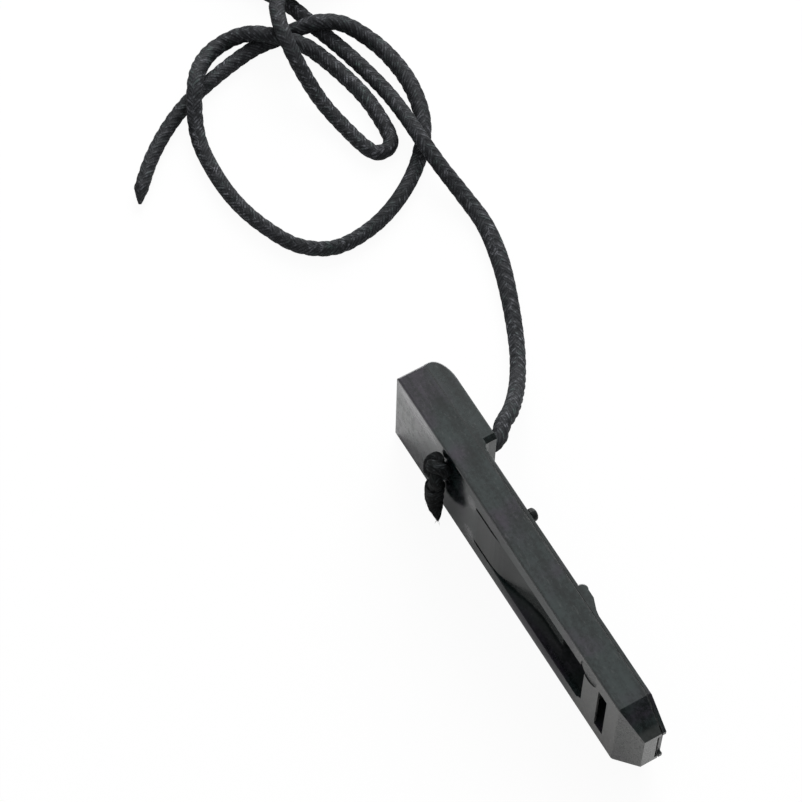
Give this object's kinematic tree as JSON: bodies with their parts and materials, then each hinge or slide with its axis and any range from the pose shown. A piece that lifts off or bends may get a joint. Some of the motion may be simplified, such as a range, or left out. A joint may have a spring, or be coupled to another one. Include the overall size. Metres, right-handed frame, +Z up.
{
  "type": "training whistle",
  "caption": "Flat stick whistle with a slanted windway, a press tongue clicker in a long window, a back cover with a finger ridge, and a knotted cotton neck cord.",
  "frame": {"origin": "on the surface the whistle stands on, under the middle of the whistle without its cord", "axes": "+X from the head end to the lip, +Y from the open front face to the back cover, +Z up across the broad faces"},
  "size_m": [0.2259, 0.084, 0.0223],
  "materials": {
    "black_plastic": "satin moulded",
    "cover_plastic": "satin moulded",
    "tongue_plastic": "satin moulded",
    "pin_plastic": "staked",
    "spring_steel": "rolled",
    "waxed_cotton": "waxed braid",
    "tie_plastic": "plain"
  },
  "bodies": {
    "whistle": {"body": "black_plastic", "back_cover": "cover_plastic", "cover_pin_lower": "pin_plastic", "cover_pin_upper": "pin_plastic", "stopper_knot": "waxed_cotton", "knot_tail": "waxed_cotton", "cord_lead": "waxed_cotton", "cord_coil": "waxed_cotton", "cord_loop": "waxed_cotton", "coil_tie": "tie_plastic"},
    "tongue": {"press_tongue": "tongue_plastic"},
    "strip": {"clicker_strip": "spring_steel"}
  },
  "joints": [
    {"name": "tongue_press", "type": "hinge", "parent": "whistle", "child": "tongue", "pos_m": [-0.0128, -0.00443, 0.01115], "axis": [0, 0, 1], "range_deg": [0, 2], "stiffness_Nm_per_rad": 0.5},
    {"name": "strip_flex", "type": "hinge", "parent": "whistle", "child": "strip", "pos_m": [-0.0128, 0.00068, 0.01115], "axis": [0, 0, 1], "range_deg": [0, 2], "stiffness_Nm_per_rad": 0.5}
  ],
  "couplings": [
    {"joint": "strip_flex", "follows": "tongue_press", "ratio": 1}
  ]
}
